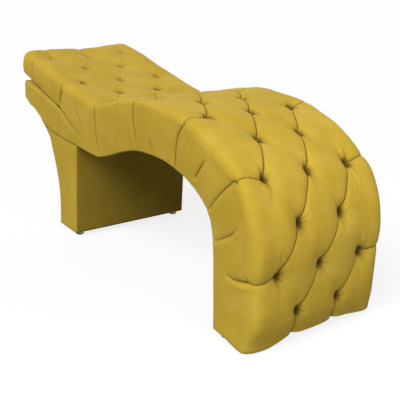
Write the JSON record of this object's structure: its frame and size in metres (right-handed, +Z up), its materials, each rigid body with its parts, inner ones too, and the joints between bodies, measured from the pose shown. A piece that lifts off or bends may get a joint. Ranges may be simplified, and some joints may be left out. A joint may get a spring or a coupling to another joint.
{
  "type": "reclining beauty bed",
  "caption": "Mustard suede beauty bed with an S-shaped tufted body on a front leg and a flared pedestal, and a head rest that tilts up on ratchet hinges.",
  "frame": {"origin": "On the floor, under the middle of the bed's box", "axes": "+X towards the foot end, +Y towards the bed's left side, +Z up"},
  "size_m": [1.746, 0.6, 0.8102],
  "materials": {
    "mustard_suede": "matte suede",
    "lining_cloth": "matte",
    "plywood": "raw",
    "pine": "raw",
    "zinc_steel": "zinc plated",
    "chrome": "polished"
  },
  "bodies": {
    "bed_frame": {"seat_cushion": "mustard_suede", "leg_cushion": "mustard_suede", "crease_foam": "mustard_suede", "side_pad_right": "mustard_suede", "side_pad_left": "mustard_suede", "slab_pad": "mustard_suede", "slab_end_pad": "mustard_suede", "pedestal_cover": "mustard_suede", "underside_board": "lining_cloth", "side_panel_right": "plywood", "side_panel_left": "plywood", "deck_board": "plywood", "slab_board": "plywood", "foot_board": "plywood", "pedestal_back_board": "plywood", "pedestal_front_board": "plywood", "pedestal_side_right": "plywood", "pedestal_side_left": "plywood", "pedestal_floor_board": "plywood", "slab_end_rail": "pine", "slab_middle_rail": "pine", "hinge_rail": "pine", "dip_rail": "pine", "seat_rail": "pine", "hump_rail": "pine", "knee_rail": "pine", "shin_rail": "pine", "hinge_base_arm_right": "zinc_steel", "pawl_spring_right": "zinc_steel", "hinge_pivot_right": "zinc_steel", "pawl_pin_right": "zinc_steel", "stop_pin_right": "zinc_steel", "hinge_base_arm_left": "zinc_steel", "pawl_spring_left": "zinc_steel", "hinge_pivot_left": "zinc_steel", "pawl_pin_left": "zinc_steel", "stop_pin_left": "zinc_steel", "glide_pedestal_front_right": "chrome", "glide_pedestal_front_left": "chrome", "glide_pedestal_back_right": "chrome", "glide_pedestal_back_left": "chrome", "glide_leg_back_right": "chrome", "glide_leg_back_left": "chrome", "glide_leg_front_right": "chrome", "glide_leg_front_left": "chrome"},
    "head_rest": {"head_cushion": "mustard_suede", "head_board": "plywood", "head_side_rail_right": "pine", "head_side_rail_left": "pine", "head_front_rail": "pine", "head_end_rail": "pine", "head_lining": "lining_cloth", "hinge_swing_arm_right": "zinc_steel", "hinge_swing_arm_left": "zinc_steel"},
    "pawl_left": {"hinge_pawl_left": "zinc_steel"},
    "pawl_right": {"hinge_pawl_right": "zinc_steel"}
  },
  "joints": [
    {"name": "head_rest_hinge", "type": "hinge", "parent": "bed_frame", "child": "head_rest", "pos_m": [-0.4625, 0, 0.58518], "axis": [0, 1, 0], "range_deg": [0, 45], "deforming": ["crease_foam"]},
    {"name": "pawl_left_pivot", "type": "hinge", "parent": "bed_frame", "child": "pawl_left", "pos_m": [-0.42361, 0.2661, 0.54629], "axis": [0, 1, 0], "range_deg": [0, 12]},
    {"name": "pawl_right_pivot", "type": "hinge", "parent": "bed_frame", "child": "pawl_right", "pos_m": [-0.42361, -0.2661, 0.54629], "axis": [0, 1, 0], "range_deg": [0, 12]}
  ],
  "couplings": [
    {"joint": "pawl_right_pivot", "follows": "pawl_left_pivot", "ratio": 1}
  ]
}
